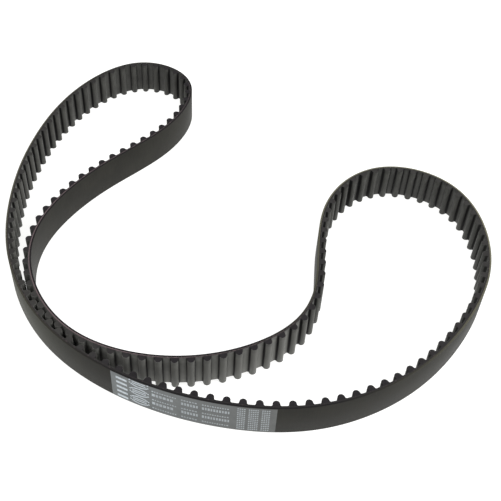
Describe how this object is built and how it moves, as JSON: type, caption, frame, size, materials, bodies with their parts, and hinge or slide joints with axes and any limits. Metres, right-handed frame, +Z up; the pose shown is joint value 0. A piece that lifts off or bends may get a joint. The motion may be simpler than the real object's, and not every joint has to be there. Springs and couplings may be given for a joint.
{
  "type": "timing belt",
  "caption": "Endless toothed timing belt with round teeth on the inside and a printed label on its back, resting on its edge in a bent loop.",
  "frame": {"origin": "centre of the loop's bounding box, on the surface that the belt's cut edge stands on", "axes": "+Z up along the belt's width, +X along the loop's longest extent towards the right lobe, -Y towards the side with the label"},
  "size_m": [0.3242, 0.3144, 0.0254],
  "materials": {
    "back_rubber": "ground black rubber, dull with a soft sheen",
    "tooth_rubber": "dark moulded rubber, cut edge dull",
    "glass_cord": "treated glass cord, dull pinkish brown",
    "facing_fabric": "dark grey woven nylon, dull",
    "label_film": "grey transfer film, satin",
    "label_ink": "pale print, satin"
  },
  "bodies": {
    "left_lobe": {"left_lobe_backing": "back_rubber", "left_lobe_cord": "glass_cord", "left_lobe_teeth": "tooth_rubber", "left_lobe_facing": "facing_fabric"},
    "outer_span": {"outer_span_backing": "back_rubber", "outer_span_cord": "glass_cord", "outer_span_teeth": "tooth_rubber", "outer_span_facing": "facing_fabric", "label_film": "label_film", "label_print_bars": "label_ink", "label_print_mark": "label_ink", "label_print_lines": "label_ink", "label_print_grid": "label_ink"},
    "right_lobe": {"right_lobe_backing": "back_rubber", "right_lobe_cord": "glass_cord", "right_lobe_teeth": "tooth_rubber", "right_lobe_facing": "facing_fabric"},
    "inner_span": {"inner_span_backing": "back_rubber", "inner_span_cord": "glass_cord", "inner_span_teeth": "tooth_rubber", "inner_span_facing": "facing_fabric"},
    "left_return": {"left_return_backing": "back_rubber", "left_return_cord": "glass_cord", "left_return_teeth": "tooth_rubber", "left_return_facing": "facing_fabric"}
  },
  "joints": [
    {"name": "left_outer_flex", "type": "hinge", "parent": "left_lobe", "child": "outer_span", "pos_m": [-0.11889, -0.10439, 0.0127], "axis": [0, 0, 1], "range_deg": [0, 20], "stiffness_Nm_per_rad": 0.08},
    {"name": "right_outer_flex", "type": "hinge", "parent": "outer_span", "child": "right_lobe", "pos_m": [0.04854, -0.1516, 0.0127], "axis": [0, 0, 1], "range_deg": [-20, 0], "stiffness_Nm_per_rad": 0.08},
    {"name": "right_inner_flex", "type": "hinge", "parent": "right_lobe", "child": "inner_span", "pos_m": [0.02976, -0.10034, 0.0127], "axis": [0, 0, 1], "range_deg": [0, 20], "stiffness_Nm_per_rad": 0.08},
    {"name": "left_inner_flex", "type": "hinge", "parent": "inner_span", "child": "left_return", "pos_m": [-0.13768, -0.05314, 0.0127], "axis": [0, 0, 1], "range_deg": [-20, 0], "stiffness_Nm_per_rad": 0.08}
  ],
  "couplings": [
    {"joint": "right_outer_flex", "follows": "left_outer_flex", "ratio": -1},
    {"joint": "right_inner_flex", "follows": "left_outer_flex", "ratio": 1},
    {"joint": "left_inner_flex", "follows": "left_outer_flex", "ratio": -1}
  ]
}
